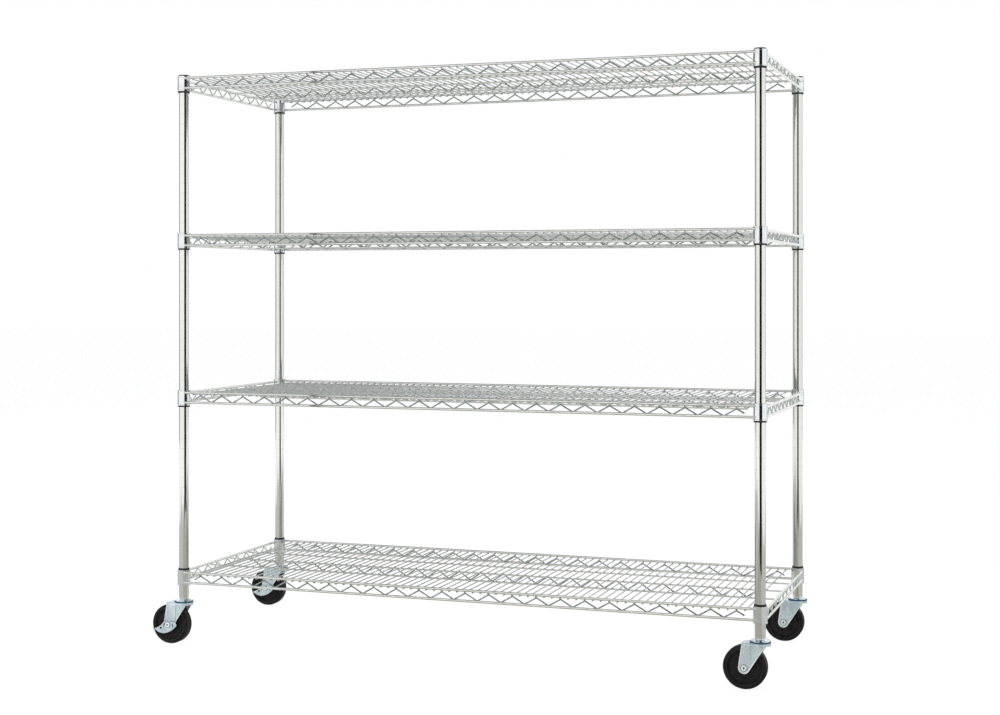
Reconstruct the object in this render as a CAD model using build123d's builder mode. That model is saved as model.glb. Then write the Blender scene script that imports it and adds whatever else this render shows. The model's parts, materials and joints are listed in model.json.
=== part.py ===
from build123d import *
import os
from math import atan, cos, floor

# Wire shelving rack on four swivel casters, as an assembly of separate pieces.
# Millimetres. The origin is on the floor under the middle of the four posts,
# +X runs along the long side, +Y runs to the back and +Z is up.

# ---------------------------------------------------------------- sizes: whole rack
rack_length = 1524.0            # 60 in, over the collars
rack_depth = 609.6              # 24 in, over the collars
rack_height = 1473.2            # 58 in, floor to the top of the post caps

# ---------------------------------------------------------------- sizes: posts
post_diameter = 25.4
post_wall = 1.2
groove_pitch = 25.4
groove_depth = 0.6
groove_width = 1.8
first_groove_up = 4.7           # foot of the tube to its lowest groove
cap_dome = 4.0                  # cap above the end of the tube
cap_plug_depth = 12.0
insert_height = 24.0
slip_gap = 0.05                 # radial play of one round piece in another

# ---------------------------------------------------------------- sizes: sleeves
sleeve_height = 40.0
sleeve_base_wall = 2.4
sleeve_taper = 0.02             # radius lost per millimetre of height
sleeve_split = 0.6              # gap between the two halves
bead_width = 1.4
sleeve_line_depth = 0.15        # moulded line round the outside at mid-height
sleeve_line_width = 1.0

# ---------------------------------------------------------------- sizes: collars
collar_height = 39.5
collar_wall = 1.35
collar_lip = 0.5
collar_lip_height = 2.4
collar_fit = 0.08               # radial gap between the collar and its sleeve
seat_shift = 4.0                # upper collars sit this far above the sleeve's foot
bore_land = 8.0                 # the bore grips the sleeve this far from each end
bore_relief = 0.15              # and is relieved by this much between

# ---------------------------------------------------------------- sizes: shelf wires
rim_wire = 6.4
deck_wire = 3.0
snake_wire = 3.6
support_wire = 4.0
rim_outset = 12.0               # rim wires lie this far outside the post axes
rim_drop = 6.0                  # collar top to the middle of the top rim wire
rim_spacing = 25.5              # top rim wire to bottom rim wire
weld_gap = 0.05                 # hairline between wires that are welded side by side
wire_end_inset = 0.8            # deck and support wires stop short of the rim's outside
snake_pitch_aim = 60.0
side_pitch_aim = 57.0
deck_wires_per_pitch = 3
long_end_gap = 53.0             # post axis to the last peak on a long side
side_end_gap = 59.8             # post axis to the last valley on a short side
snake_bend = 4.5
snake_stub = 18.0
centre_stub = 6.0
long_rise = 17.2
side_rise = 20.6
centre_rise = 20.5
centre_foot_drop = 20.0         # centre top wire down to the centre foot wire
ribs_at_valley = 2              # plain support wires cross the side snake's 2nd valleys

# ---------------------------------------------------------------- sizes: shelf levels
bottom_groove = 2               # counted up from the lowest groove
lower_groove = 20
upper_groove = 36

# ---------------------------------------------------------------- sizes: casters
wheel_diameter = 101.6
wheel_width = 32.0
wheel_hub_stand = 1.0
wheel_hub_radius = 13.0
tread_flat = 18.0
tread_depth = 14.0              # tread surface down to the dished web
web_dish = 5.0                  # web set back from the wheel's side
hub_slope = 2.0
rim_slope = 3.0
rim_step = 1.5
axle_radius = 4.0
bush_wall = 2.0
caster_trail = 34.0
leg_gap = 2.0                   # wheel's side to the inside of a fork leg
fork_sheet = 2.5
leg_end_radius = 13.5
leg_rim = 1.8
leg_rim_stand = 0.7
fork_shoulder = 6.0
crown_clearance = 3.9           # wheel top to the underside of the crown
crown_back = 40.0
crown_front = 14.0
race_radius = 24.5
race_drop = 6.0
race_gap = 2.3
cup_radius = 23.5
cup_height = 6.2
cup_crown_radius = 14.0
ball_radius = 3.0
ball_ring_radius = 16.5
ball_count = 14
ball_gap = 0.1
dust_ring_gap = 0.15
dust_ring_width = 2.0
kingpin_radius = 5.0
kingpin_head_radius = 7.0
kingpin_head_height = 3.0
stem_hex_height = 4.5
stem_hex_radius = 12.6
stem_radius = 4.76
stem_height = 28.0
bolt_head_radius = 6.8
bolt_head_height = 2.6
bolt_socket_radius = 2.3
nut_hex_radius = 7.5
nut_height = 6.0
bolt_end = 1.5                  # thread showing past the nut

# ---------------------------------------------------------------- sizes: brakes
panel_stand = 2.5
panel_width = 24.0
panel_back = 4.0                # panel edge behind the axle
panel_foot = 10.0               # panel's lower edge above the axle
cheek_gap = 0.5
cheek_sheet = 1.8
cheek_boss_radius = 8.5
cheek_tip = 37.0                # axle to the tip of a brake plate
toe_length = 7.0                # small toe bent outward at the tip
toe_width = 8.0
toe_drop = 13.4                 # axle down to the middle of the toe
square_hole = 5.0
square_hole_spot = (-20.0, -9.0)    # from the axle
square_hole_turn = 35

# ---------------------------------------------------------------- worked out from them
post_radius = post_diameter / 2
sleeve_foot_radius = post_radius + slip_gap + sleeve_base_wall
collar_body_radius = sleeve_foot_radius + collar_wall
collar_radius = collar_body_radius + collar_lip
post_x = rack_length / 2 - collar_radius
post_y = rack_depth / 2 - collar_radius

axle_height = wheel_diameter / 2
crown_under = wheel_diameter + crown_clearance
crown_top = crown_under + fork_sheet
cup_foot = crown_top + race_gap
hex_foot = cup_foot + cup_height
post_foot = hex_foot + stem_hex_height
post_top = rack_height - cap_dome

lowest_groove = post_foot + first_groove_up
room_above_groove = sleeve_height / 2 + 2
top_groove = floor((post_top - lowest_groove - room_above_groove) / groove_pitch)

rim_plane_x = post_x + rim_outset
rim_plane_y = post_y + rim_outset
rim_radius = rim_wire / 2
deck_radius = deck_wire / 2
snake_radius = snake_wire / 2
support_radius = support_wire / 2

# heights in a shelf, measured from the middle of its top rim wire on the long sides
deck_z = -(rim_radius + deck_radius)
support_z = deck_z - deck_radius - support_radius
side_rim_z = support_z + support_radius + rim_radius
peak_z = deck_z - deck_radius - snake_radius - 2 * weld_gap

snake_span = 2 * (post_x - long_end_gap)
snake_count = round(snake_span / snake_pitch_aim)
snake_pitch = snake_span / snake_count
side_span = 2 * (post_y - side_end_gap)
side_count = 2 * round(side_span / side_pitch_aim / 2)
side_pitch = side_span / side_count
deck_spacing = snake_pitch / deck_wires_per_pitch
deck_count = deck_wires_per_pitch * snake_count + 3
rib_y = ribs_at_valley * side_pitch
wire_end = rim_radius - wire_end_inset


def groove_z(number):
    """Height of a groove on the post, counted up from the lowest."""
    return lowest_groove + number * groove_pitch


def sleeve_radius(height):
    """Outside radius of a sleeve at a height above its foot."""
    return sleeve_foot_radius - sleeve_taper * height


def copies(piece, spots):
    """The same piece standing at each spot."""
    with BuildPart() as group:
        with Locations(*spots):
            add(piece, clean=False)
    return group.part


def save(piece, name):
    """Label one finished node and write it."""
    piece.label = name
    export_step(piece, f"parts/{name}.step")


os.makedirs("parts", exist_ok=True)

corners = {
    "front_left": (-post_x, -post_y, 0),
    "front_right": (post_x, -post_y, 0),
    "rear_left": (-post_x, post_y, 0),
    "rear_right": (post_x, post_y, 0),
}
corner_spots = list(corners.values())

# ---------------------------------------------------------------- posts
with BuildPart() as post:
    with BuildSketch(Plane.XY.offset(post_foot)):
        Circle(post_radius)
        Circle(post_radius - post_wall, mode=Mode.SUBTRACT)
    extrude(amount=post_top - post_foot)
    with BuildSketch(Plane.XZ):
        for number in range(top_groove + 1):
            with Locations((post_radius, groove_z(number))):
                Rectangle(2 * groove_depth, groove_width)
    revolve(axis=Axis.Z, mode=Mode.SUBTRACT)

for corner, spot in corners.items():
    save(copies(post.part, [spot]), f"post_{corner}")

tube_bore = post_radius - post_wall

with BuildPart() as cap:
    with BuildSketch(Plane.XY.offset(post_top - cap_plug_depth)):
        Circle(tube_bore - slip_gap)
    extrude(amount=cap_plug_depth)
    with BuildSketch(Plane.XY.offset(post_top)):
        Circle(post_radius)
    extrude(amount=cap_dome)
    fillet(cap.edges().group_by(Axis.Z)[-1], radius=0.8 * cap_dome)
    with BuildSketch(Plane.XY.offset(post_top - cap_plug_depth)):
        Circle(tube_bore - slip_gap - post_wall)
    extrude(amount=cap_plug_depth - 1, mode=Mode.SUBTRACT)

save(copies(cap.part, corner_spots), "post_caps")

with BuildPart() as insert:
    with BuildSketch(Plane.XY.offset(post_foot)):
        Circle(tube_bore - slip_gap)
        Circle(stem_radius + slip_gap, mode=Mode.SUBTRACT)
    extrude(amount=insert_height)
    chamfer(insert.edges().group_by(Axis.Z)[-1], length=0.8)

save(copies(insert.part, corner_spots), "post_inserts")

# ---------------------------------------------------------------- split sleeves
with BuildPart() as sleeve:
    with BuildSketch(Plane.XZ):
        with BuildLine():
            Polyline(
                (post_radius + slip_gap, 0),
                (sleeve_radius(0), 0),
                (sleeve_radius(sleeve_height), sleeve_height),
                (post_radius + slip_gap, sleeve_height),
                close=True,
            )
        make_face()
        bead_depth = groove_depth - slip_gap
        with Locations((post_radius + slip_gap, sleeve_height / 2)):
            Rectangle(2 * bead_depth, bead_width)
        with Locations((sleeve_radius(sleeve_height / 2), sleeve_height / 2)):
            Rectangle(2 * sleeve_line_depth, sleeve_line_width, mode=Mode.SUBTRACT)
    revolve(axis=Axis.Z)
    with BuildSketch(Plane.XY):
        Rectangle(3 * post_diameter, sleeve_split)
    extrude(amount=sleeve_height, mode=Mode.SUBTRACT)


# ---------------------------------------------------------------- collars
def make_collar(lift):
    """A collar whose foot stands this far above the foot of its sleeve."""
    bore_foot = sleeve_radius(lift) + collar_fit
    bore_top = sleeve_radius(lift + collar_height) + collar_fit
    lip_z = collar_height - collar_lip_height
    with BuildPart() as collar:
        with BuildSketch(Plane.XZ):
            with BuildLine():
                Polyline(
                    (bore_foot, 0),
                    (collar_radius, 0),
                    (collar_radius, collar_lip_height),
                    (collar_body_radius, collar_lip_height + collar_lip),
                    (collar_body_radius, lip_z - collar_lip),
                    (collar_radius, lip_z),
                    (collar_radius, collar_height),
                    (bore_top, collar_height),
                    close=True,
                )
            make_face()
            relief_foot = sleeve_radius(lift + bore_land) + collar_fit
            relief_top = sleeve_radius(lift + collar_height - bore_land) + collar_fit
            with BuildLine():
                Polyline(
                    (relief_foot, bore_land),
                    (relief_foot + bore_relief, bore_land),
                    (relief_top + bore_relief, collar_height - bore_land),
                    (relief_top, collar_height - bore_land),
                    close=True,
                )
            make_face(mode=Mode.SUBTRACT)
        revolve(axis=Axis.Z)
        lip_edges = collar.edges().filter_by(GeomType.CIRCLE).filter_by(
            lambda edge: edge.radius > collar_body_radius + collar_lip / 2
        )
        fillet(lip_edges.group_by(Axis.Z)[0] + lip_edges.group_by(Axis.Z)[-1], radius=0.4)
    return collar.part


# ---------------------------------------------------------------- rim wires
with BuildPart() as rims:
    with BuildSketch(Plane.YZ.offset(-post_x)):
        with Locations((0, -rim_spacing / 2)):
            with GridLocations(2 * rim_plane_y, rim_spacing, 2, 2):
                Circle(rim_radius)
    extrude(amount=2 * post_x)
    with BuildSketch(Plane.XZ.offset(-post_y)):
        for height in (side_rim_z, -rim_spacing):
            with Locations((-rim_plane_x, height), (rim_plane_x, height)):
                Circle(rim_radius)
    extrude(amount=2 * post_y)
    with BuildSketch(Plane.XY.offset(-rim_spacing - rim_wire)):
        with GridLocations(2 * post_x, 2 * post_y, 2, 2):
            Circle(collar_body_radius)
    extrude(amount=rim_spacing + 2 * rim_wire, mode=Mode.SUBTRACT)


# ---------------------------------------------------------------- zigzag wires
def bend_loss(rise, pitch):
    """How far a rounded bend falls short of its sharp corner."""
    return snake_bend * (1 / cos(atan(2 * rise / pitch)) - 1)


def zigzag(span, pitch, first_z, second_z, stub):
    """Corners of a zigzag that starts and ends at first_z, with a cut stub beyond."""
    steps = round(2 * span / pitch)
    slope = (second_z - first_z) / (pitch / 2)
    turns = [(-span / 2 + i * pitch / 2, second_z if i % 2 else first_z) for i in range(steps + 1)]
    stub_z = first_z + slope * stub
    return [(-span / 2 - stub, stub_z)] + turns + [(span / 2 + stub, stub_z)]


def make_snake(plane, points):
    """One wire bent along the points, in the given plane."""
    with BuildPart() as snake:
        with BuildLine(plane) as path:
            FilletPolyline(*points, radius=snake_bend)
        with BuildSketch(Plane(origin=path.line @ 0, z_dir=path.line % 0)):
            Circle(snake_radius)
        sweep()
    return snake.part


snake_inset = rim_radius + snake_radius + weld_gap
long_peak = peak_z + bend_loss(long_rise, snake_pitch)
long_points = zigzag(snake_span, snake_pitch, long_peak, long_peak - long_rise, snake_stub)
long_snake = make_snake(Plane.XZ.offset(rim_plane_y - snake_inset), long_points)

valley_z = long_peak - long_rise + bend_loss(long_rise, snake_pitch)
side_valley = valley_z - bend_loss(side_rise, side_pitch)
side_points = zigzag(side_span, side_pitch, side_valley, side_valley + side_rise, snake_stub)
side_snake = make_snake(Plane.YZ.offset(rim_plane_x - snake_inset), side_points)

with BuildPart() as edge_snakes:
    add(long_snake, clean=False)
    add(mirror(long_snake, about=Plane.XZ), clean=False)
    add(side_snake, clean=False)
    add(mirror(side_snake, about=Plane.YZ), clean=False)

centre_peak = peak_z + bend_loss(centre_rise, snake_pitch)
centre_points = zigzag(snake_span, snake_pitch, centre_peak, centre_peak - centre_rise, centre_stub)
centre_offset = support_radius + snake_radius + weld_gap
centre_snake = make_snake(Plane.XZ.offset(-centre_offset), centre_points)

# ---------------------------------------------------------------- deck and support wires
with BuildPart() as deck:
    with BuildSketch(Plane.XZ.offset(-rim_plane_y - wire_end)):
        with Locations((0, deck_z)):
            with GridLocations(deck_spacing, deck_spacing, deck_count, 1):
                Circle(deck_radius)
    extrude(amount=2 * (rim_plane_y + wire_end))

centre_foot_half = snake_span / 2 - snake_pitch / 2 + support_wire

with BuildPart() as supports:
    with BuildSketch(Plane.YZ.offset(-rim_plane_x - wire_end)):
        with Locations((-rib_y, support_z), (0, support_z), (rib_y, support_z)):
            Circle(support_radius)
    extrude(amount=2 * (rim_plane_x + wire_end))
    with BuildSketch(Plane.YZ.offset(-centre_foot_half)):
        with Locations((0, support_z - centre_foot_drop)):
            Circle(support_radius)
    extrude(amount=2 * centre_foot_half)

# ---------------------------------------------------------------- shelves on their sleeves
collar_on_low_seat = make_collar(-seat_shift)
collar_on_high_seat = make_collar(seat_shift)

shelves = {
    "bottom_shelf": (bottom_groove, collar_on_low_seat, -seat_shift),
    "lower_shelf": (lower_groove, collar_on_high_seat, seat_shift),
    "upper_shelf": (upper_groove, collar_on_high_seat, seat_shift),
    "top_shelf": (top_groove, collar_on_high_seat, seat_shift),
}

for shelf, (groove, collar_piece, lift) in shelves.items():
    sleeve_foot = groove_z(groove) - sleeve_height / 2
    collar_foot = sleeve_foot + lift
    rim_level = collar_foot + collar_height - rim_drop
    sleeve_spots = [(x, y, sleeve_foot) for x, y, z in corner_spots]
    collar_spots = [(x, y, collar_foot) for x, y, z in corner_spots]
    shelf_spot = [(0, 0, rim_level)]
    save(copies(sleeve.part, sleeve_spots), f"{shelf}_sleeves")
    save(copies(collar_piece, collar_spots), f"{shelf}_collars")
    save(copies(rims.part, shelf_spot), f"{shelf}_rim_wires")
    save(copies(edge_snakes.part, shelf_spot), f"{shelf}_edge_snakes")
    save(copies(centre_snake, shelf_spot), f"{shelf}_centre_snake")
    save(copies(deck.part, shelf_spot), f"{shelf}_deck_wires")
    save(copies(supports.part, shelf_spot), f"{shelf}_support_wires")
    print(f"{shelf}: collar {collar_foot:.2f} to {collar_foot + collar_height:.2f}, rim {rim_level:.2f}")

# ---------------------------------------------------------------- caster stem and races
race_foot = crown_top - race_drop
ball_z = crown_top + race_gap / 2
pin_play = slip_gap

with BuildPart() as stem:
    with BuildSketch(Plane.XY.offset(race_foot - pin_play - kingpin_head_height)):
        Circle(kingpin_head_radius)
    extrude(amount=kingpin_head_height)
    fillet(stem.edges().group_by(Axis.Z)[0], radius=0.4 * kingpin_head_height)
    with BuildSketch(Plane.XY.offset(race_foot - pin_play)):
        Circle(kingpin_radius)
    extrude(amount=hex_foot - race_foot + pin_play)
    with BuildSketch(Plane.XY.offset(hex_foot)):
        RegularPolygon(stem_hex_radius, 6)
    extrude(amount=stem_hex_height)
    with BuildSketch(Plane.XY.offset(post_foot)):
        Circle(stem_radius)
    extrude(amount=stem_height)
    chamfer(stem.edges().group_by(Axis.Z)[-1], length=1)

save(copies(stem.part, corner_spots), "caster_stems")

with BuildPart() as cup:
    with BuildSketch(Plane.XZ):
        with BuildLine():
            Polyline(
                (kingpin_radius + slip_gap, cup_foot),
                (cup_radius, cup_foot),
                (cup_radius, cup_foot + cup_height / 2),
                (cup_crown_radius, hex_foot),
                (kingpin_radius + slip_gap, hex_foot),
                close=True,
            )
        make_face()
        with Locations((ball_ring_radius, ball_z)):
            Circle(ball_radius + slip_gap, mode=Mode.SUBTRACT)
    revolve(axis=Axis.Z)
    shoulder = cup.edges().filter_by(GeomType.CIRCLE).filter_by(
        lambda edge: abs(edge.radius - cup_radius) < slip_gap
    )
    fillet(shoulder.sort_by(Axis.Z)[-1], radius=2)

save(copies(cup.part, corner_spots), "caster_top_cups")

with BuildPart() as balls:
    with Locations((0, 0, ball_z)):
        with PolarLocations(ball_ring_radius, ball_count):
            Sphere(ball_radius)

save(copies(balls.part, corner_spots), "caster_race_balls")

with BuildPart() as dust_ring:
    with BuildSketch(Plane.XY.offset(crown_top + dust_ring_gap)):
        Circle(cup_radius - slip_gap)
        Circle(cup_radius - slip_gap - dust_ring_width, mode=Mode.SUBTRACT)
    extrude(amount=race_gap - dust_ring_gap)

save(copies(dust_ring.part, corner_spots), "caster_dust_rings")

# ---------------------------------------------------------------- caster forks
leg_inside = wheel_width / 2 + leg_gap
leg_outside = leg_inside + fork_sheet
axle_line = Axis((-caster_trail, 0, axle_height), (0, 1, 0))


def leg_outline(inset):
    """Side view of a fork leg: a rounded foot at the axle, widening to the crown."""
    with BuildSketch(Plane.XZ) as outline:
        with Locations((-caster_trail, axle_height)):
            Circle(leg_end_radius - inset)
        crown_length = crown_back + crown_front - 2 * inset
        leg_top = crown_top - fork_shoulder
        with Locations(((crown_front - crown_back) / 2, leg_top)):
            Rectangle(crown_length, fork_sheet)
        make_hull()
    return outline.sketch


def make_fork(braked):
    """A pressed fork; the braked one has a raised panel on each leg."""
    with BuildPart() as fork:
        with BuildSketch(Plane.YZ.offset(-crown_back - leg_end_radius)):
            with Locations((0, crown_top / 2)):
                RectangleRounded(2 * leg_outside, crown_top, fork_shoulder)
            with Locations((0, crown_under / 2)):
                inner_bend = fork_shoulder - fork_sheet
                RectangleRounded(2 * leg_inside, crown_under, inner_bend, mode=Mode.SUBTRACT)
        extrude(amount=crown_back + crown_front + leg_end_radius + race_radius)
        with BuildSketch(Plane.XZ.offset(-2 * leg_outside)):
            add(leg_outline(0))
            with Locations(((crown_front - crown_back) / 2, crown_top - fork_shoulder / 2)):
                Rectangle(crown_back + crown_front, fork_shoulder)
        extrude(amount=4 * leg_outside, mode=Mode.INTERSECT)
        with BuildSketch(Plane.XY.offset(race_foot)):
            Circle(race_radius)
        extrude(amount=race_drop)
        race_edge = fork.edges().filter_by(GeomType.CIRCLE).filter_by(
            lambda edge: abs(edge.radius - race_radius) < slip_gap
        )
        fillet(race_edge.group_by(Axis.Z)[0], radius=1.5)
        with BuildSketch(Plane.XZ):
            with Locations((ball_ring_radius, ball_z)):
                Circle(ball_radius + ball_gap)
        revolve(axis=Axis.Z, mode=Mode.SUBTRACT)
        with BuildSketch(Plane.XY.offset(race_foot)):
            Circle(kingpin_radius + slip_gap)
        extrude(amount=race_drop, mode=Mode.SUBTRACT)
        if braked:
            with BuildSketch(Plane.XZ.offset(-leg_outside - panel_stand)):
                panel_low = axle_height + panel_foot
                panel_high = crown_top - fork_shoulder
                panel_mid = (panel_low + panel_high) / 2
                with Locations((-caster_trail - panel_back + panel_width / 2, panel_mid)):
                    RectangleRounded(panel_width, panel_high - panel_low, 4)
            extrude(amount=2 * (leg_outside + panel_stand))
        else:
            with BuildSketch(Plane.XZ.offset(-leg_outside - leg_rim_stand)):
                add(leg_outline(0))
                add(leg_outline(leg_rim), mode=Mode.SUBTRACT)
            extrude(amount=2 * (leg_outside + leg_rim_stand))
        with BuildSketch(Plane.XZ.offset(-leg_inside)):
            with Locations((-caster_trail, crown_under / 2)):
                Rectangle(4 * crown_back, crown_under)
        extrude(amount=2 * leg_inside, mode=Mode.SUBTRACT)
        with BuildSketch(Plane.XY.offset(race_foot)):
            Circle(race_radius)
            Circle(kingpin_radius + slip_gap, mode=Mode.SUBTRACT)
        extrude(amount=crown_under - race_foot)
        with BuildSketch(Plane.XZ.offset(-2 * leg_outside)):
            with Locations((-caster_trail, axle_height)):
                Circle(axle_radius + slip_gap)
        extrude(amount=4 * leg_outside, mode=Mode.SUBTRACT)
    return fork.part


plain_fork = make_fork(False)
braked_fork = make_fork(True)

# ---------------------------------------------------------------- caster wheels
bush_radius = axle_radius + slip_gap + bush_wall
wheel_radius = wheel_diameter / 2
tread_shoulder = (wheel_width - tread_flat) / 2
web_inner = wheel_hub_radius + hub_slope
web_outer = wheel_radius - tread_depth
web_half = wheel_width / 2 - web_dish

with BuildPart() as wheel:
    with BuildSketch(Plane.YZ.offset(-caster_trail)):
        with BuildLine():
            half = wheel_width / 2
            Polyline(
                (0, axle_height + bush_radius + slip_gap),
                (half + wheel_hub_stand, axle_height + bush_radius + slip_gap),
                (half + wheel_hub_stand, axle_height + wheel_hub_radius),
                (web_half, axle_height + web_inner),
                (web_half, axle_height + web_outer),
                (half - rim_step, axle_height + web_outer + rim_slope),
                (half, axle_height + wheel_radius - tread_shoulder),
            )
            TangentArc(
                (half, axle_height + wheel_radius - tread_shoulder),
                (half - tread_shoulder, axle_height + wheel_radius),
                tangent=(0, 1),
            )
            Polyline(
                (half - tread_shoulder, axle_height + wheel_radius),
                (0, axle_height + wheel_radius),
                (0, axle_height + bush_radius + slip_gap),
            )
        make_face()
        mirror(about=Plane.YZ)
    revolve(axis=axle_line)

with BuildPart() as bush:
    with BuildSketch(Plane.XZ.offset(-leg_inside)):
        with Locations((-caster_trail, axle_height)):
            Circle(bush_radius)
            Circle(axle_radius + slip_gap, mode=Mode.SUBTRACT)
    extrude(amount=2 * leg_inside)


# ---------------------------------------------------------------- axle bolts and nuts
def make_axle(seat):
    """A bolt with a round socketed head in front and a hex nut behind, from seat to seat."""
    with BuildPart() as axle:
        with BuildSketch(Plane.XZ.offset(seat)):
            with Locations((-caster_trail, axle_height)):
                Circle(bolt_head_radius)
        extrude(amount=bolt_head_height)
        fillet(axle.edges().group_by(Axis.Y)[0], radius=0.5 * bolt_head_height)
        with BuildSketch(Plane.XZ.offset(-seat - nut_height - bolt_end)):
            with Locations((-caster_trail, axle_height)):
                Circle(axle_radius)
        extrude(amount=2 * seat + nut_height + bolt_end)
        with BuildSketch(Plane.XZ.offset(seat + bolt_head_height)):
            with Locations((-caster_trail, axle_height)):
                Circle(bolt_socket_radius)
        extrude(amount=-0.7 * bolt_head_height, mode=Mode.SUBTRACT)
    with BuildPart() as nut:
        with BuildSketch(Plane.XZ.offset(-seat - nut_height)):
            with Locations((-caster_trail, axle_height)):
                RegularPolygon(nut_hex_radius, 6)
                Circle(axle_radius + slip_gap, mode=Mode.SUBTRACT)
        extrude(amount=nut_height)
    return Compound(children=[axle.part, nut.part])


# ---------------------------------------------------------------- brake pedals
cheek_inside = leg_outside + panel_stand + cheek_gap
cheek_outside = cheek_inside + cheek_sheet
boss_length = cheek_outside - leg_outside - slip_gap    # from the leg to the plate's outside


def axle_plane(y):
    """A plane square to the axle at this y, with its origin on the axle and its second axis up."""
    return Plane(origin=(-caster_trail, y, axle_height), x_dir=(1, 0, 0), z_dir=(0, -1, 0))


with BuildPart() as brake_plate:
    with BuildSketch(axle_plane(-cheek_inside)):
        with BuildLine():
            ThreePointArc((-cheek_tip, -10.5), (-21.5, -3.5), (-11.5, 8.5))
            Polyline((-11.5, 8.5), (22, 9), (25.5, -1))
            ThreePointArc((25.5, -1), (11, -14.2), (-13, -22.5))
            ThreePointArc((-13, -22.5), (-26, -20.2), (-cheek_tip, -13.5))
            Line((-cheek_tip, -13.5), (-cheek_tip, -10.5))
        make_face()
    extrude(amount=cheek_sheet)
    with BuildSketch(axle_plane(-leg_outside - slip_gap)):
        Circle(cheek_boss_radius)
    extrude(amount=boss_length)
    with BuildSketch(axle_plane(-cheek_inside)):
        with Locations((toe_length / 2 - cheek_tip - cheek_sheet, -toe_drop)):
            Rectangle(toe_length, cheek_sheet)
    extrude(amount=cheek_sheet + toe_width)
    with BuildSketch(axle_plane(-leg_outside)):
        Circle(axle_radius)
        with Locations(square_hole_spot):
            Rectangle(square_hole, square_hole, rotation=square_hole_turn)
    extrude(amount=cheek_outside, mode=Mode.SUBTRACT)

with BuildPart() as pedal:
    add(brake_plate.part)
    add(mirror(brake_plate.part, about=Plane.XZ))

# ---------------------------------------------------------------- four casters
for corner, spot in corners.items():
    braked = corner.endswith("left")
    fork_piece = braked_fork if braked else plain_fork
    seat = cheek_outside if braked else leg_outside
    save(copies(fork_piece, [spot]), f"{corner}_fork")
    save(copies(wheel.part, [spot]), f"{corner}_wheel")
    save(copies(bush.part, [spot]), f"{corner}_wheel_bush")
    save(copies(make_axle(seat), [spot]), f"{corner}_axle_bolt")
    if braked:
        save(copies(pedal.part, [spot]), f"{corner}_brake_pedal")

print(f"post axes {2 * post_x:.2f} by {2 * post_y:.2f}, foot {post_foot:.2f}, top {post_top:.2f}")
print(f"{deck_count} deck wires {deck_spacing:.2f} apart, snake pitch {snake_pitch:.2f}")
print(f"side pitch {side_pitch:.2f}, support wires at {rib_y:.2f}, top groove {top_groove}")
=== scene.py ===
# %% [markdown]
# # A wire shelving rack on casters
# Real racks like this are welded wire shelves held on grooved, chrome-plated posts. Their sizes
# are settled in a CAD model first. This lesson loads that model as a fixed frame, and then gives
# every piece its finish: plated wire, bright posts, zinc casters, moulded plastic and rubber.

# %% Load the frame
import json
import math

import bmesh
import bpy
from mathutils import Matrix, Vector


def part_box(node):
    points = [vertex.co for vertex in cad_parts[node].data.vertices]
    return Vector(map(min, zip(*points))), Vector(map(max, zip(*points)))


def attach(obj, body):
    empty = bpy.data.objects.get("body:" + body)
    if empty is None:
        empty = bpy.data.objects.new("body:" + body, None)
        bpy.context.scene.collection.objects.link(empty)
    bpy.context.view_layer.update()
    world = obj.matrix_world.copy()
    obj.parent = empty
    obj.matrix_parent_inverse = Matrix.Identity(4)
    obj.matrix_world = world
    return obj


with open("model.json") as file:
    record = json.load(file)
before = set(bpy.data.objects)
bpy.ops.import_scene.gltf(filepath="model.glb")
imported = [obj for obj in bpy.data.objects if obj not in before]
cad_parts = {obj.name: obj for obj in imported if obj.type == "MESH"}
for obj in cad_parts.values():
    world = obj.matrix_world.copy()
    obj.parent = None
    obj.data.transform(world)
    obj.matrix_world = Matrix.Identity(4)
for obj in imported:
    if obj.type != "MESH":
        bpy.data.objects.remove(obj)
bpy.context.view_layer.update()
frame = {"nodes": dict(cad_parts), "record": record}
scene = bpy.context.scene

# %% [markdown]
# The rack repeats itself: four shelves, four corners. Naming them once lets every later step be
# a loop. The frame says where the posts stand, and the other three mirror the one that is read.

# %% Shelves and corners
shelf_names = ("bottom_shelf", "lower_shelf", "upper_shelf", "top_shelf")
post_low, post_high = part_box("post_rear_right")
post_x = round((post_low.x + post_high.x) / 2, 4)
post_y = round((post_low.y + post_high.y) / 2, 4)
corners = {
    "front_left": (-post_x, -post_y),
    "front_right": (post_x, -post_y),
    "rear_left": (-post_x, post_y),
    "rear_right": (post_x, post_y),
}
braked_corners = ("front_left", "rear_left")


def shelf_body(shelf):
    """The body a shelf's pieces move with: the bottom shelf stays on the posts, the others slide."""
    return "root" if shelf == "bottom_shelf" else shelf


print("posts at", post_x, "by", post_y, "m from the middle")

# %% [markdown]
# ## Talking to the shader editor in code
# A material is a small network of nodes. Writing each network by hand in full is long, so three
# helpers say it in a maker's words: `new_finish` starts a material, `grain` makes a noise that is
# fixed to the piece, and `between` turns a noise into a colour or a number between two ends.

# %% Helpers for finishes
def new_finish(name, roughness, metallic=0.0):
    """A material with one Principled shader, ready for its details."""
    finish = bpy.data.materials.new(name)
    finish.use_nodes = True
    shader = finish.node_tree.nodes["Principled BSDF"]
    shader.inputs["Metallic"].default_value = metallic
    shader.inputs["Roughness"].default_value = roughness
    return finish, shader


def grain(finish, scale, stretch=(1, 1, 1), detail=3.0):
    """Noise fixed to the piece: a larger scale is finer, stretch makes it long one way."""
    nodes, links = finish.node_tree.nodes, finish.node_tree.links
    place = nodes.new("ShaderNodeTexCoord")
    mapping = nodes.new("ShaderNodeMapping")
    mapping.inputs["Scale"].default_value = stretch
    noise = nodes.new("ShaderNodeTexNoise")
    noise.inputs["Scale"].default_value = scale
    noise.inputs["Detail"].default_value = detail
    links.new(place.outputs["Object"], mapping.inputs["Vector"])
    links.new(mapping.outputs["Vector"], noise.inputs["Vector"])
    return noise.outputs["Fac"]


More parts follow.
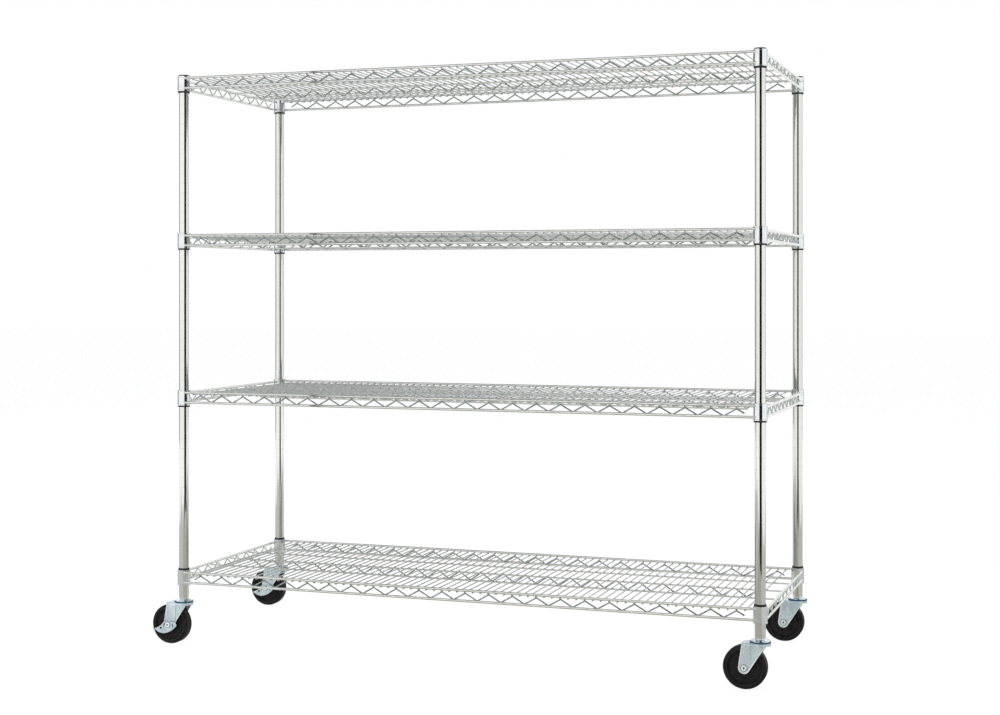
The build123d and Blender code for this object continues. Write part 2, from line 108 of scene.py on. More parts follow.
def between(finish, noise, low, high):
    """The noise spread from low to high, as a grey number or as a colour."""
    ramp = finish.node_tree.nodes.new("ShaderNodeValToRGB")
    most_of_the_noise = (0.35, 0.65)
    for element, place, value in zip(ramp.color_ramp.elements, most_of_the_noise, (low, high)):
        element.position = place
        element.color = (*value, 1) if isinstance(value, tuple) else (value, value, value, 1)
    finish.node_tree.links.new(noise, ramp.inputs["Fac"])
    return ramp.outputs["Color"]


print("finish helpers ready")

# %% [markdown]
# Three more helpers plug a noise into the shader. Uneven colour, uneven polish and a little relief
# are what tell the eye that a surface is a real one.


# %% Colour, polish and relief
def tint(finish, shader, noise, low, high):
    """Colour that drifts between two shades."""
    colour = between(finish, noise, low, high)
    finish.node_tree.links.new(colour, shader.inputs["Base Color"])


def polish(finish, shader, noise, smooth, rough):
    """Roughness that drifts between two values."""
    grey = between(finish, noise, smooth, rough)
    finish.node_tree.links.new(grey, shader.inputs["Roughness"])


def relief(finish, shader, noise, depth, strength):
    """Small bumps, depth in metres."""
    bump = finish.node_tree.nodes.new("ShaderNodeBump")
    bump.inputs["Strength"].default_value = strength
    bump.inputs["Distance"].default_value = depth
    finish.node_tree.links.new(noise, bump.inputs["Height"])
    finish.node_tree.links.new(bump.outputs["Normal"], shader.inputs["Normal"])


print("surface helpers ready")

# %% [markdown]
# ## Chrome plate
# Chrome is a mirror that is a little darker than white, so its colour stays high and its roughness
# low. What makes it read as metal is that the roughness and the tint aren't even: tube is drawn
# lengthwise, which leaves fine lines, and plated parts keep the mottle of the steel under them.

# %% Chrome for posts and collars
post_chrome, shader = new_finish("post chrome", 0.12, metallic=1.0)
tint(post_chrome, shader, grain(post_chrome, 6.0, (1, 1, 0.3)), (0.76, 0.77, 0.74), (0.88, 0.88, 0.85))
polish(post_chrome, shader, grain(post_chrome, 900.0, (1, 1, 0.01)), 0.04, 0.11)
relief(post_chrome, shader, grain(post_chrome, 1500.0, (1, 1, 0.02)), 0.00002, 0.5)

collar_chrome, shader = new_finish("collar chrome", 0.16, metallic=1.0)
tint(collar_chrome, shader, grain(collar_chrome, 60.0), (0.78, 0.82, 0.84), (0.90, 0.92, 0.93))
polish(collar_chrome, shader, grain(collar_chrome, 700.0), 0.06, 0.14)
relief(collar_chrome, shader, grain(collar_chrome, 400.0), 0.00004, 0.5)
print("chrome for posts and collars made")

# %% [markdown]
# ### Grooves
# A post has a rolled groove every inch. Its shape is in the frame, but it is shallow, so the finish paints
# shade into it: a slightly darker colour that stands in for the shade in the groove and lets it show. A mask
# does that: a value of one inside each groove and nought outside, worked out from the height of the point.


# %% Masks, and the painted shade in the grooves
def object_place(finish, axis):
    """How far each point lies along one axis of the rack, in metres."""
    nodes, links = finish.node_tree.nodes, finish.node_tree.links
    place = nodes.new("ShaderNodeTexCoord")
    parts = nodes.new("ShaderNodeSeparateXYZ")
    links.new(place.outputs["Object"], parts.inputs["Vector"])
    return parts.outputs[axis]


def reckon(finish, value, steps):
    """Put a value through a row of sums, each an operation and its number."""
    for operation, number in steps:
        step = finish.node_tree.nodes.new("ShaderNodeMath")
        step.operation = operation
        step.inputs[1].default_value = number
        finish.node_tree.links.new(value, step.inputs[0])
        value = step.outputs["Value"]
    return value


def ring_lines(finish, first, pitch, width):
    """One inside a ring of the given width that repeats up the piece, nought between."""
    steps = [
        ("ADD", pitch / 2 - first),
        ("DIVIDE", pitch),
        ("FRACT", 0),
        ("SUBTRACT", 0.5),
        ("ABSOLUTE", 0),
        ("LESS_THAN", width / pitch / 2),
    ]
    return reckon(finish, object_place(finish, "Z"), steps)


def overlay(finish, shader, mask, colour, amount):
    """Lay a colour over the base colour where the mask is one."""
    links = finish.node_tree.links
    under = shader.inputs["Base Color"].links[0].from_socket
    mix = finish.node_tree.nodes.new("ShaderNodeMix")
    mix.data_type = "RGBA"
    factor, first_colour, second_colour = mix.inputs[0], mix.inputs[6], mix.inputs[7]
    links.new(reckon(finish, mask, [("MULTIPLY", amount)]), factor)
    links.new(under, first_colour)
    second_colour.default_value = (*colour, 1)
    links.new(mix.outputs[2], shader.inputs["Base Color"])


first_groove = 0.1257
groove_pitch = 0.0254
groove_width = 0.0018
painted_groove_shade = ring_lines(post_chrome, first_groove, groove_pitch, groove_width)
post_shader = post_chrome.node_tree.nodes["Principled BSDF"]
# painted shade: a grey laid a quarter of the way over the chrome in each groove
overlay(post_chrome, post_shader, painted_groove_shade, (0.5, 0.5, 0.46), 0.25)
print("groove marks every", groove_pitch * 1000, "mm")

# %% [markdown]
# ### Plated wire
# The wires share one recipe, mottled in colour and in polish, and differ in shade, which is painted light.
# The thin deck and zigzag wires are the same plated wire as the rims, but get darker colours, painted shade
# for how they look in a bright studio, and the short zigzags at the two ends get a near-white colour laid
# over them, a painted highlight.


# %% Chrome for the wires
def plated_wire(name, low, high):
    """Chrome over drawn wire: mottled in colour and in polish."""
    finish, shader = new_finish(name, 0.22, metallic=1.0)
    tint(finish, shader, grain(finish, 90.0), low, high)
    polish(finish, shader, grain(finish, 1200.0), 0.14, 0.3)
    relief(finish, shader, grain(finish, 700.0), 0.00005, 0.6)
    return finish, shader


def beyond(finish, reach):
    """One beyond the given reach to either end of the rack, nought between."""
    return reckon(finish, object_place(finish, "X"), [("ABSOLUTE", 0), ("GREATER_THAN", reach)])


wire_chrome, _ = plated_wire("rim wire chrome", (0.78, 0.79, 0.76), (0.93, 0.94, 0.91))
# painted shade: darker colours for the deck and zigzag wires than for the rims
deck_chrome_painted_shade, _ = plated_wire("deck wire chrome, painted shade", (0.35, 0.38, 0.37), (0.56, 0.59, 0.58))
zigzag_chrome_painted_light, shader = plated_wire("zigzag wire chrome, painted light", (0.26, 0.31, 0.31), (0.48, 0.53, 0.52))
# painted highlight: past this reach, at the two ends, the zigzags are laid over with near white
end_painted_highlight_reach = 0.74
overlay(zigzag_chrome_painted_light, shader, beyond(zigzag_chrome_painted_light, end_painted_highlight_reach), (0.9, 0.94, 0.95), 0.8)

# The beads are darker than the wire: their dark colour is painted shade where the wires cross and where the
# rims enter the collars.
weld_steel_painted_shade, shader = new_finish("weld bead", 0.35, metallic=1.0)
tint(weld_steel_painted_shade, shader, grain(weld_steel_painted_shade, 1500.0), (0.2, 0.2, 0.2), (0.42, 0.43, 0.42))
polish(weld_steel_painted_shade, shader, grain(weld_steel_painted_shade, 2500.0), 0.25, 0.5)
print("chrome for wires made")

# %% [markdown]
# ## Zinc
# The casters are zinc plated. The pressed forks have a blue-white, soft and cloudy sheen. The race cups and
# stems are smoother and mirror more. Rolled edges and axle bolts are given a near-white zinc, which is a
# painted highlight, and the washers and pressed ribs a dark zinc, which is painted shade: a dark outline
# round each bolt head and dark slots on the brake plates.

# %% Finishes for the metal of the casters
caster_zinc, shader = new_finish("blue-white zinc", 0.3, metallic=0.6)
tint(caster_zinc, shader, grain(caster_zinc, 70.0, (1, 1, 0.3)), (0.56, 0.69, 0.75), (0.80, 0.90, 0.94))
polish(caster_zinc, shader, grain(caster_zinc, 900.0), 0.22, 0.4)
relief(caster_zinc, shader, grain(caster_zinc, 500.0), 0.00006, 0.5)

cup_zinc, shader = new_finish("polished zinc", 0.15, metallic=1.0)
tint(cup_zinc, shader, grain(cup_zinc, 90.0), (0.72, 0.82, 0.87), (0.88, 0.94, 0.97))
polish(cup_zinc, shader, grain(cup_zinc, 900.0), 0.08, 0.18)

# painted highlight: a near-white zinc for the rolled edges and the axle bolts
zinc_painted_highlight, shader = new_finish("rolled zinc edge, painted highlight", 0.2, metallic=0.3)
tint(zinc_painted_highlight, shader, grain(zinc_painted_highlight, 120.0), (0.90, 0.94, 0.95), (0.97, 0.98, 0.99))
polish(zinc_painted_highlight, shader, grain(zinc_painted_highlight, 900.0), 0.15, 0.28)

# painted shade: a dark zinc for the washers and the brake ribs
zinc_painted_shade, shader = new_finish("pressed zinc, painted shade", 0.4, metallic=1.0)
tint(zinc_painted_shade, shader, grain(zinc_painted_shade, 300.0), (0.10, 0.13, 0.14), (0.2, 0.24, 0.26))
polish(zinc_painted_shade, shader, grain(zinc_painted_shade, 900.0), 0.35, 0.5)

insert_zinc, shader = new_finish("insert zinc", 0.35, metallic=1.0)
tint(insert_zinc, shader, grain(insert_zinc, 200.0), (0.55, 0.54, 0.5), (0.7, 0.69, 0.65))
polish(insert_zinc, shader, grain(insert_zinc, 900.0), 0.3, 0.45)

ball_steel, shader = new_finish("ball steel", 0.1, metallic=1.0)
tint(ball_steel, shader, grain(ball_steel, 300.0), (0.5, 0.5, 0.5), (0.66, 0.66, 0.66))
polish(ball_steel, shader, grain(ball_steel, 2000.0), 0.06, 0.14)
print("zinc and steel finishes made")

# %% [markdown]
# ## Plastic and rubber
# The black plastic of the sleeves and caps has a fine moulded grain. The hard rubber of the wheels
# is nearly black and cloudy, and the rings that stand proud on its sides are a little lighter. A
# low specular level keeps such dark surfaces from looking wet.

# %% Finishes for plastic and rubber
sleeve_plastic, shader = new_finish("sleeve plastic", 0.45)
shader.inputs["Specular IOR Level"].default_value = 0.25
tint(sleeve_plastic, shader, grain(sleeve_plastic, 300.0), (0.012, 0.012, 0.013), (0.028, 0.028, 0.03))
polish(sleeve_plastic, shader, grain(sleeve_plastic, 900.0), 0.38, 0.55)
relief(sleeve_plastic, shader, grain(sleeve_plastic, 3000.0), 0.00005, 0.4)

cap_plastic, shader = new_finish("cap plastic", 0.4)
shader.inputs["Specular IOR Level"].default_value = 0.04
tint(cap_plastic, shader, grain(cap_plastic, 300.0), (0.012, 0.012, 0.013), (0.03, 0.03, 0.032))
polish(cap_plastic, shader, grain(cap_plastic, 900.0), 0.32, 0.48)
relief(cap_plastic, shader, grain(cap_plastic, 3000.0), 0.00005, 0.4)

dust_ring_plastic, shader = new_finish("dark blue nylon", 0.4)
tint(dust_ring_plastic, shader, grain(dust_ring_plastic, 400.0), (0.006, 0.06, 0.14), (0.015, 0.10, 0.2))
polish(dust_ring_plastic, shader, grain(dust_ring_plastic, 900.0), 0.34, 0.5)

wheel_rubber, shader = new_finish("hard black rubber", 0.5)
shader.inputs["Specular IOR Level"].default_value = 0.16
rubber_clouds = grain(wheel_rubber, 60.0, detail=6.0)
tint(wheel_rubber, shader, rubber_clouds, (0.007, 0.0068, 0.007), (0.019, 0.0175, 0.018))
polish(wheel_rubber, shader, grain(wheel_rubber, 500.0), 0.4, 0.62)
relief(wheel_rubber, shader, grain(wheel_rubber, 2500.0), 0.00008, 0.5)

scuffed_rubber, shader = new_finish("scuffed rubber", 0.45)
tint(scuffed_rubber, shader, grain(scuffed_rubber, 300.0), (0.010, 0.0095, 0.010), (0.030, 0.029, 0.030))
polish(scuffed_rubber, shader, grain(scuffed_rubber, 700.0), 0.35, 0.5)
print("plastic and rubber finishes made")

# %% [markdown]
# ## Dressing the frame
# Each node of the CAD model names the finish it wants, its slot. Changing only the material keeps
# every size as it was settled. A few nodes share a slot but not a look, so they are changed after.

# %% Give each node its finish
finishes = {
    "post_chrome": post_chrome,
    "collar_chrome": collar_chrome,
    "wire_chrome": wire_chrome,
    "sleeve_plastic": sleeve_plastic,
    "cap_plastic": cap_plastic,
    "insert_zinc": insert_zinc,
    "caster_zinc": caster_zinc,
    "ball_steel": ball_steel,
    "dust_ring_plastic": dust_ring_plastic,
    "wheel_rubber": wheel_rubber,
}
for subpart in frame["record"]["subparts"]:
    node = frame["nodes"][subpart["node"]]
    node.data.materials.clear()
    node.data.materials.append(finishes[subpart["material_slot"]])
# painted shade: the deck and zigzag wires take the darker wire chromes
for shelf in shelf_names:
    frame["nodes"][f"{shelf}_deck_wires"].data.materials[0] = deck_chrome_painted_shade
    frame["nodes"][f"{shelf}_edge_snakes"].data.materials[0] = zigzag_chrome_painted_light
    frame["nodes"][f"{shelf}_centre_snake"].data.materials[0] = zigzag_chrome_painted_light
# painted highlight: the axle bolts take the near-white zinc
for corner in corners:
    frame["nodes"][f"{corner}_axle_bolt"].data.materials[0] = zinc_painted_highlight
for name in ("caster_top_cups", "caster_stems"):
    frame["nodes"][name].data.materials[0] = cup_zinc
print(len(frame["nodes"]), "nodes dressed by", len(finishes), "slots")

# %% [markdown]
# ## Weld beads
# The wires are spot welded where they cross, and each weld squeezes out a small bead. A squashed
# ball sits at each crossing: below the deck wires where they lie on the supports, and on top of
# them where they pass under the rims. One mesh per shelf holds all of its beads, which is light
# enough to draw and easy to move with the shelf.

# %% Where the wires cross
rim_radius = 0.0032
support_row = 0.114
wires_in_deck = 72            # on each shelf
deck_low, deck_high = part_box("bottom_shelf_deck_wires")
rim_low, rim_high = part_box("bottom_shelf_rim_wires")
wire_thickness = deck_high.z - deck_low.z
wire_step = (deck_high.x - deck_low.x - wire_thickness) / (wires_in_deck - 1)
first_wire = deck_low.x + wire_thickness / 2
support_rows = (-support_row, 0.0, support_row)
rim_rows = (rim_low.y + rim_radius, rim_high.y - rim_radius)
print("deck wires", round(wire_step * 1000, 3), "mm apart")


# %% Build the beads
def add_bead(mesh, centre, size):
    """A squashed ball, size is its half lengths."""
    shape = Matrix.Translation(centre) @ Matrix.Diagonal((*size, 1))
    bmesh.ops.create_icosphere(mesh, subdivisions=1, radius=1.0, matrix=shape)


def finish_piece(mesh, name, finish, body, smooth=True):
    """Turn the mesh into a piece that wears a finish and moves with a body."""
    data = bpy.data.meshes.new(name)
    for face in mesh.faces:
        face.smooth = smooth
    mesh.to_mesh(data)
    mesh.free()
    data.materials.append(finish)
    piece = bpy.data.objects.new(name, data)
    scene.collection.objects.link(piece)
    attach(piece, body)
    return piece


support_bead = (0.0021, 0.0021, 0.0006)
rim_bead = (0.0022, 0.0022, 0.0007)
for shelf in shelf_names:
    under_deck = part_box(f"{shelf}_deck_wires")[0].z
    beads = bmesh.new()
    for i in range(wires_in_deck):
        wire_x = first_wire + i * wire_step
        for row in support_rows:
            add_bead(beads, (wire_x, row, under_deck), support_bead)
        for row in rim_rows:
            add_bead(beads, (wire_x, row, under_deck + wire_thickness), rim_bead)
    finish_piece(beads, f"{shelf}_weld_beads", weld_steel_painted_shade, shelf_body(shelf))
    print(shelf, "has", wires_in_deck * (len(support_rows) + len(rim_rows)), "weld beads")

# %% [markdown]
# The thick rim wires are welded into the collars at every corner. A short, fat bead round each wire end
# shows it, and its dark colour is painted shade where the wire enters the collar.

# %% Welds where the rims meet the collars
rim_offset = 0.012            # from the post's axis out to a rim wire
collar_bite = 0.0117          # from the post's axis to where a wire enters the collar
rim_drop = 0.0255             # from the top rim wire down to the bottom one
side_drop = 0.0038            # the short sides' top wires lie this much lower
thin, fat = 0.0016, 0.0037    # half lengths of a bead along its wire and across it
for shelf in shelf_names:
    rim_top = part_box(f"{shelf}_rim_wires")[1].z - rim_radius
    welds = bmesh.new()
    for side_x in (-1, 1):
        for side_y in (-1, 1):
            for wire_z in (rim_top, rim_top - rim_drop):
                spot = (side_x * (post_x - collar_bite), side_y * (post_y + rim_offset), wire_z)
                add_bead(welds, spot, (thin, fat, fat))
            for wire_z in (rim_top - side_drop, rim_top - rim_drop):
                spot = (side_x * (post_x + rim_offset), side_y * (post_y - collar_bite), wire_z)
                add_bead(welds, spot, (fat, thin, fat))
    finish_piece(welds, f"{shelf}_rim_welds", weld_steel_painted_shade, shelf_body(shelf))
print("rim welds made")

# %% [markdown]
# ## Rolled edges on the forks
# The legs of a caster fork are pressed from sheet, and their edges are rolled over so that they don't cut.
# The roll catches a thin bright line of light all round the leg. Here it is a small round tube swept along
# the outline of the leg: two straight sides and the arc at the axle, in a near-white zinc that paints that
# bright line in as a highlight.

# %% A tube through points, and the outline of a leg
wheel_low, wheel_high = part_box("rear_right_wheel")
trail = round(post_x - (wheel_low.x + wheel_high.x) / 2, 4)
axle_z = round((wheel_low.z + wheel_high.z) / 2, 4)
leg_back = 0.040              # from the post's axis back to the leg's edge
leg_front = 0.014             # and forward to its other edge
leg_top = 0.1015
leg_foot_radius = 0.0135


def tube(mesh, points, radius, closed=False, sides=8):
    """A round tube through the points, which lie in an upright plane along the rack."""
    rings = []
    count = len(points)
    for i, point in enumerate(points):
        before = points[i - 1] if i or closed else point
        after = points[(i + 1) % count] if i + 1 < count or closed else point
        along = (after - before).normalized()
        across = along.cross(Vector((0, 1, 0))).normalized()
        up = along.cross(across)
        ring = []
        for k in range(sides):
            turn = 2 * math.pi * k / sides
            ring.append(mesh.verts.new(point + radius * (math.cos(turn) * across + math.sin(turn) * up)))
        rings.append(ring)
    last = count if closed else count - 1
    for i in range(last):
        ring, following = rings[i], rings[(i + 1) % count]
        for k in range(sides):
            j = (k + 1) % sides
            mesh.faces.new((ring[k], ring[j], following[j], following[k]))
    if not closed:
        mesh.faces.new(reversed(rings[0]))
        mesh.faces.new(rings[-1])


def leg_path(centre_x, y, inset, arc_steps=14):
    """Down the back of the leg, round the axle and up the front."""
    foot = Vector((centre_x - trail, axle_z))
    radius = leg_foot_radius - inset
    back_top = Vector((centre_x - leg_back + inset, leg_top))
    front_top = Vector((centre_x + leg_front - inset, leg_top))
    angles = []
    for top, turn in ((back_top, 1), (front_top, -1)):
        reach = top - foot
        angles.append(math.atan2(reach.y, reach.x) + turn * math.acos(radius / reach.length))
    start, end = angles[0], angles[1] + 2 * math.pi
    arc = [start + (end - start) * k / arc_steps for k in range(arc_steps + 1)]
    path = [back_top] + [foot + radius * Vector((math.cos(a), math.sin(a))) for a in arc] + [front_top]
    return [Vector((p.x, y, p.y)) for p in path]


print("wheels trail", trail * 1000, "mm, axles", axle_z * 1000, "mm up")

# %% [markdown]
# The forks of the braked casters have a raised panel on each leg, so they get a second, straight
# pair of edges. These stop above the brake plate, which swings up past the panel when pressed.

# %% Sweep the rolled edges
leg_outside = 0.0205
panel_outside = 0.0230
panel_edges = (-0.0373, -0.0147)
panel_edge_low, panel_edge_high = 0.0662, 0.0985
plain_roll, braked_roll, panel_roll = 0.0014, 0.0010, 0.0008    # radii of the rolls
roll_stand = 0.0001           # how far a roll stands out past the leg's outline
for corner, (x, y) in corners.items():
    braked = corner in braked_corners
    roll = braked_roll if braked else plain_roll
    rolls = bmesh.new()
    for side in (-1, 1):
        tube(rolls, leg_path(x, y + side * leg_outside, roll - roll_stand), roll)
        if braked:
            for edge_x in panel_edges:
                foot = Vector((x + edge_x, y + side * panel_outside, panel_edge_low))
                head = Vector((x + edge_x, y + side * panel_outside, panel_edge_high))
                tube(rolls, [foot, head], panel_roll)
    # painted highlight: the rolls wear the near-white zinc
    finish_piece(rolls, f"{corner}_leg_rolls", zinc_painted_highlight, f"{corner}_swivel")
print("leg rolls made")

# %% [markdown]
# ## Moulded rings on the wheels
# The sides of a moulded wheel carry fine raised rings, which the mould leaves. They break up the
# black, so each wheel gets three on each side, swept as closed tubes.


# %% Rings on the wheel sides
def circle(centre_x, y, radius, steps=48):
    """Points of a circle round the axle."""
    turns = [2 * math.pi * k / steps for k in range(steps)]
    axle_x = centre_x - trail
    return [Vector((axle_x + radius * math.cos(t), y, axle_z + radius * math.sin(t))) for t in turns]


wheel_rings = (
    # out from the wheel's middle, radius, half the ring's thickness
    (0.0153, 0.0418, 0.00055),
    (0.0110, 0.0300, 0.0007),
    (0.0110, 0.0190, 0.0006),
)
for corner, (x, y) in corners.items():
    rings = bmesh.new()
    for side in (-1, 1):
        for out, radius, half_thickness in wheel_rings:
            tube(rings, circle(x, y + side * out, radius), half_thickness, closed=True, sides=6)
    finish_piece(rings, f"{corner}_wheel_rings", scuffed_rubber, f"{corner}_roller")
print(2 * len(wheel_rings), "rings on each wheel")

# %% [markdown]
# ## Bolts and seals
# Three small things make a caster look assembled: the washer under each bolt head, whose dark zinc is
# painted shade round the head, the black hexagon in its socket, which is painted shade where the socket is
# dark, and the blue seal that stands a little proud round the swivel race. The seal is one profile turned
# round the post's axis, so it needs a helper.


# %% Turn a profile round a post
def turned_ring(mesh, x, y, profile, turns=48):
    """A closed profile of (radius, height) points turned round an upright axis."""
    rows = []
    for k in range(turns):
        a = 2 * math.pi * k / turns
        rows.append([mesh.verts.new((x + r * math.cos(a), y + r * math.sin(a), z)) for r, z in profile])
    for k in range(turns):
        row, following = rows[k], rows[(k + 1) % turns]
        for j in range(len(profile)):
            i = (j + 1) % len(profile)
            mesh.faces.new((row[j], following[j], following[i], row[i]))


seal_profile = [
    (0.0236, 0.1083),
    (0.0240, 0.1083),
    (0.0244, 0.1090),
    (0.0244, 0.1110),
    (0.0240, 0.1121),
    (0.0236, 0.1121),
]
print("seal is", seal_profile[2][0] * 2000, "mm across")

# %% [markdown]
# On a braked caster the bolt's head sits on the brake plate, outside the leg, and its washer and
# socket turn with the brake.

# %% Washers, sockets and seals
plate_outside = 0.0253
washer_radius, washer_half_thickness, washer_stand = 0.0074, 0.0006, 0.0002
socket_radius, socket_stand = 0.0022, 0.0021
for corner, (x, y) in corners.items():
    braked = corner in braked_corners
    seat = plate_outside if braked else leg_outside
    body = f"{corner}_brake" if braked else f"{corner}_swivel"
    # painted shade: the washer's dark zinc draws a dark outline round the bolt head
    washer = bmesh.new()
    edge = circle(x, y - seat - washer_stand, washer_radius, steps=32)
    tube(washer, edge, washer_half_thickness, closed=True, sides=6)
    finish_piece(washer, f"{corner}_washer", zinc_painted_shade, body)
    # painted shade: a black hexagon sits just inside the bolt head and stands in for the dark of its socket
    socket = bmesh.new()
    place = Matrix.Translation((x - trail, y - seat - socket_stand, axle_z))
    upright = place @ Matrix.Rotation(math.pi / 2, 4, "X")
    bmesh.ops.create_circle(socket, cap_ends=True, segments=6, radius=socket_radius, matrix=upright)
    finish_piece(socket, f"{corner}_socket", cap_plastic, body, smooth=False)
    seal = bmesh.new()
    turned_ring(seal, x, y, seal_profile)
    finish_piece(seal, f"{corner}_seal", dust_ring_plastic, "root")
print("washers, sockets and seals made")

# %% [markdown]
# ## Lips of the post caps
# A moulded cap has a lip that stands out a little past the tube and rests on its end. It is the
# thin black line that closes the top of each post. The lip is a turned profile too.

# %% Cap lips
cap_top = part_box("post_caps")[1].z
lip_profile = [
    (0.0115, cap_top - 0.0031),
    (0.0135, cap_top - 0.0031),
    (0.0139, cap_top - 0.0027),
    (0.0139, cap_top - 0.0008),
    (0.0135, cap_top - 0.0002),
    (0.0115, cap_top - 0.0001),
]
lips = bmesh.new()
for x, y in corners.values():
    turned_ring(lips, x, y, lip_profile)
finish_piece(lips, "cap_lips", cap_plastic, "root")
print("cap lips made")

# %% [markdown]
# ## Pressed ribs on the brake plates
# Each brake plate is stiffened by two ribs pressed into the sheet, one on each side of the axle. A
# stretched, squashed ball standing a little proud of the plate gives a rib its rounded shape, and its dark
# zinc is painted shade, a dark slot in the plate.

# %% Ribs on the brake plates
rib_height, rib_half_width = 0.0007, 0.0015
plate_ribs = (
    # along and up from the axle, half length, lean in degrees
    (-0.0098, 0.0005, 0.0062, 62),
    (0.0142, -0.0015, 0.0050, 100),
)
for corner in braked_corners:
    x, y = corners[corner]
    ribs = bmesh.new()
    for side in (-1, 1):
        for rib_x, rib_z, half_length, lean in plate_ribs:
            place = Matrix.Translation((x - trail + rib_x, y + side * plate_outside, axle_z + rib_z))
            turned = Matrix.Rotation(math.radians(-lean), 4, "Y")
            shape = place @ turned @ Matrix.Diagonal((half_length, rib_height, rib_half_width, 1))
            bmesh.ops.create_icosphere(ribs, subdivisions=3, radius=1.0, matrix=shape)
    finish_piece(ribs, f"{corner}_brake_ribs", zinc_painted_shade, f"{corner}_brake")
print("brake ribs made")

# %% [markdown]
# A rubber pad behind each plate fills its small square hole, a little below the surface, and its black
# colour is painted shade that darkens the hole. It is a thin box with its edges rounded, turned as the hole
# is.

# %% Pads in the square holes
hole_x, hole_z, hole_turn = -0.020, -0.009, 35
pad_side, pad_thickness, pad_sunk, pad_round = 0.0047, 0.0018, 0.0012, 0.0003
for corner in braked_corners:
    x, y = corners[corner]
    pads = bmesh.new()
    for side in (-1, 1):
        pad_y = y + side * (plate_outside - pad_sunk)
        place = Matrix.Translation((x - trail + hole_x, pad_y, axle_z + hole_z))
        turned = Matrix.Rotation(math.radians(-hole_turn), 4, "Y")
        shape = place @ turned @ Matrix.Diagonal((pad_side, pad_thickness, pad_side, 1))
        bmesh.ops.create_cube(pads, size=1.0, matrix=shape)
    bmesh.ops.bevel(pads, geom=pads.edges[:], offset=pad_round, segments=2, affect="EDGES")
    finish_piece(pads, f"{corner}_brake_pads", cap_plastic, f"{corner}_brake", smooth=False)
print("brake pads made")

# %% [markdown]
# ## The studio
# Chrome shows its surroundings, so the studio is part of its finish. The room is white to the
# camera and in reflections, and dimmer where it only lights the rack, so that pale parts don't
# clip. The floor glows white to the same rays, and keeps a faint shadow.


# %% World
def seen_directly(nodes, links):
    """One for rays from the camera, a mirror or glass, nought for rays that only gather light."""
    path = nodes.new("ShaderNodeLightPath")
    value = path.outputs["Is Camera Ray"]
    for kind in ("Is Glossy Ray", "Is Transmission Ray"):
        either = nodes.new("ShaderNodeMath")
        either.operation = "MAXIMUM"
        links.new(value, either.inputs[0])
        links.new(path.outputs[kind], either.inputs[1])
        value = either.outputs["Value"]
    return value


world = bpy.data.worlds.new("white room")
scene.world = world
world.use_nodes = True
nodes, links = world.node_tree.nodes, world.node_tree.links
nodes.clear()
room_light = nodes.new("ShaderNodeBackground")
room_light.inputs["Color"].default_value = (0.95, 0.98, 1.0, 1)
room_light.inputs["Strength"].default_value = 0.55
room_white = nodes.new("ShaderNodeBackground")
room_white.inputs["Color"].default_value = (1, 1, 1, 1)
room_white.inputs["Strength"].default_value = 1.0
choose = nodes.new("ShaderNodeMixShader")
output = nodes.new("ShaderNodeOutputWorld")
links.new(seen_directly(nodes, links), choose.inputs["Fac"])
links.new(room_light.outputs["Background"], choose.inputs[1])
links.new(room_white.outputs["Background"], choose.inputs[2])
links.new(choose.outputs["Shader"], output.inputs["Surface"])
print("white room ready")


# %% Floor
def stage_sheet(name, points, finish):
    """A flat sheet of the studio, not part of the rack."""
    data = bpy.data.meshes.new(name)
    data.from_pydata(points, [], [(0, 1, 2, 3)])
    data.materials.append(finish)
    sheet = bpy.data.objects.new(name, data)
    scene.collection.objects.link(sheet)
    return sheet


def level_corners(low, high, height):
    """The corners of a level rectangle, from one corner to the other."""
    round_the_edge = ((low[0], low[1]), (high[0], low[1]), (high[0], high[1]), (low[0], high[1]))
    return [(x, y, height) for x, y in round_the_edge]


glow_share = 0.9              # the rest of the floor's look is paper, which takes the shadow
floor_white = bpy.data.materials.new("floor white")
floor_white.use_nodes = True
nodes, links = floor_white.node_tree.nodes, floor_white.node_tree.links
nodes.clear()
paper = nodes.new("ShaderNodeBsdfDiffuse")
paper.inputs["Color"].default_value = (0.9, 0.9, 0.9, 1)
glow = nodes.new("ShaderNodeEmission")
glow.inputs["Strength"].default_value = 1.05
choose = nodes.new("ShaderNodeMixShader")
output = nodes.new("ShaderNodeOutputMaterial")
links.new(reckon(floor_white, seen_directly(nodes, links), [("MULTIPLY", glow_share)]), choose.inputs["Fac"])
links.new(paper.outputs["BSDF"], choose.inputs[1])
links.new(glow.outputs["Emission"], choose.inputs[2])
links.new(choose.outputs["Shader"], output.inputs["Surface"])

floor_reach = 30.0
stage_sheet("floor", level_corners((-floor_reach, -floor_reach), (floor_reach, floor_reach), 0), floor_white)
print("floor laid")

# %% [markdown]
# ## Cards
# A white room alone leaves chrome flat. Dark and grey cards round the rack draw the dark lines down
# the posts and shade the wires. They show only in reflections: they cast no shadow and stay out of
# the picture.


# %% Cards round the rack
def card_finish(name, shade):
    """Card of one even brightness, so that its reflection is the same from every side."""
    finish = bpy.data.materials.new(name)
    finish.use_nodes = True
    nodes, links = finish.node_tree.nodes, finish.node_tree.links
    nodes.clear()
    glow = nodes.new("ShaderNodeEmission")
    glow.inputs["Color"].default_value = (*shade, 1)
    output = nodes.new("ShaderNodeOutputMaterial")
    links.new(glow.outputs["Emission"], output.inputs["Surface"])
    return finish


def add_card(name, points, finish):
    """A sheet that colours the chrome, but casts no shadow and stays out of the picture."""
    card = stage_sheet(name, points, finish)
    card.visible_camera = False
    card.visible_diffuse = False
    card.visible_shadow = False


def stand_card(name, place, width, finish, facing=(0, 0), low=0.02, high=4.0):
    """A tall card that stands at a spot on the floor and faces another spot."""
    middle = Vector((place[0], place[1], 0))
    across = Vector((facing[1] - place[1], place[0] - facing[0], 0))
    side = across.normalized() * width / 2
    foot, head = Vector((0, 0, low)), Vector((0, 0, high))
    left, right = middle - side, middle + side
    add_card(name, [left + foot, right + foot, right + head, left + head], finish)


def lay_card(name, low, high, height, finish):
    """A card lying level over or under the rack, from one corner to the other."""
    add_card(name, level_corners(low, high, height), finish)


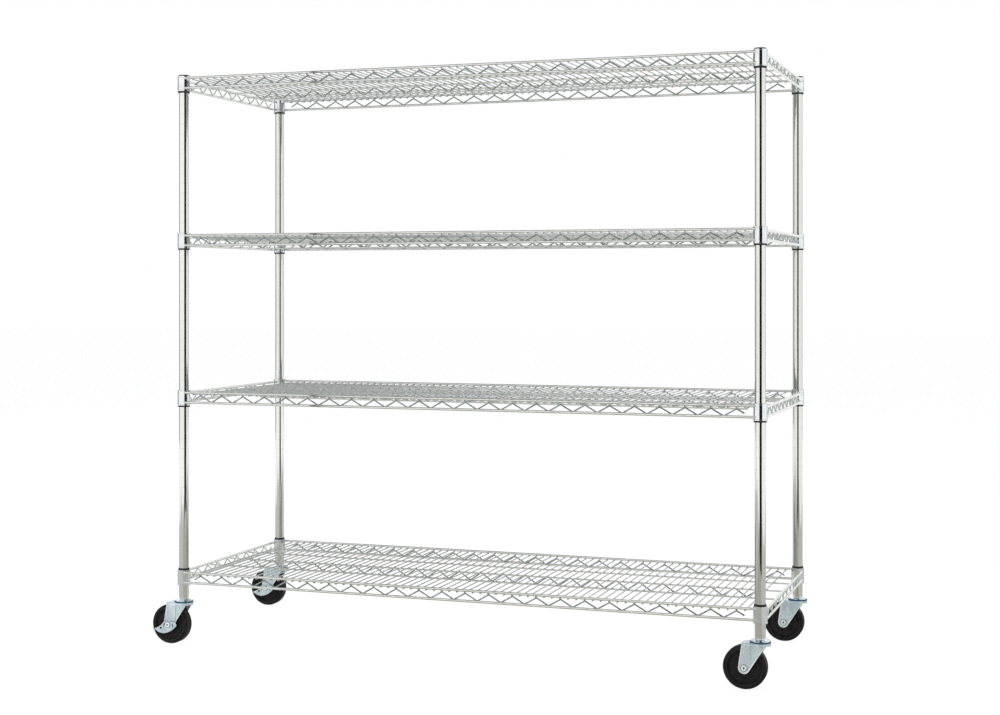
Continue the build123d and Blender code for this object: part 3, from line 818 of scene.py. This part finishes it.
dark_card = card_finish("dark card", (0.012, 0.012, 0.01))
grey_card = card_finish("grey card", (0.3, 0.31, 0.3))
ceiling_card = card_finish("ceiling card", (0.28, 0.3, 0.3))
table_card = card_finish("table card", (0.58, 0.58, 0.56))
beige_card = card_finish("beige card", (0.45, 0.435, 0.38))
stand_card("card_front", (1.16, -1.785), 1.39, dark_card)
stand_card("card_near_left", (-0.408, -0.381), 0.111, dark_card, facing=corners["front_left"], low=0.3)
stand_card("card_left", (-6.0, 1.2), 4.5, grey_card)
stand_card("card_back_right", (4.2, 5.0), 1.8, grey_card)
stand_card("card_back_left", (-1.4, 3.4), 0.9, dark_card)
lay_card("card_above", (-4, -4), (4, 4), 4.4, ceiling_card)
lay_card("card_below", (-3, -3), (3, 3), 0.0004, table_card)
lay_card("card_below_front", (-0.55, -2.6), (1.25, -0.1), 0.0008, beige_card)
print("cards set")

# %% [markdown]
# ## Lamps
# Two large soft lamps, one above and one from the front left, give the shelves a brighter top and
# the rubber a soft edge. The front one is kept out of reflections, where it would leave a white
# patch on the posts.


# %% Lamps
def soft_lamp(name, place, aim, width, height, power):
    """A large area lamp pointed at a spot."""
    lamp = bpy.data.lights.new(name, "AREA")
    lamp.shape = "RECTANGLE"
    lamp.size = width
    lamp.size_y = height
    lamp.energy = power
    holder = bpy.data.objects.new(name, lamp)
    holder.location = place
    holder.rotation_euler = (Vector(aim) - Vector(place)).to_track_quat("-Z", "Y").to_euler()
    scene.collection.objects.link(holder)
    return holder


rack_middle = (0, 0, 0.7)
soft_lamp("lamp_above", (0.0, 0.0, 4.5), rack_middle, 4.0, 4.0, 110.0)
fill = soft_lamp("lamp_front_left", (-3.5, -4.5, 2.6), rack_middle, 2.5, 2.5, 90.0)
fill.visible_glossy = False
print("lamps lit")

# %% [markdown]
# ## Camera
# The view is level, from the front and a little to the right, with a long lens. A level camera
# keeps the uprights parallel, and a shift of the lens, not a tilt, places the rack in the frame.

# %% Camera
eye = bpy.data.cameras.new("camera")
eye.sensor_width = 36.0
eye.lens = 62.18
eye.shift_x = 0.060
eye.shift_y = -0.0708
eye.clip_end = 100.0
camera = bpy.data.objects.new("camera", eye)
camera.location = (1.4174, -4.2651, 0.9249)
camera.rotation_euler = (math.radians(90), 0, math.radians(20.10))
scene.collection.objects.link(camera)
scene.camera = camera
scene.view_settings.view_transform = "Standard"
print("camera at", tuple(round(v, 3) for v in camera.location))
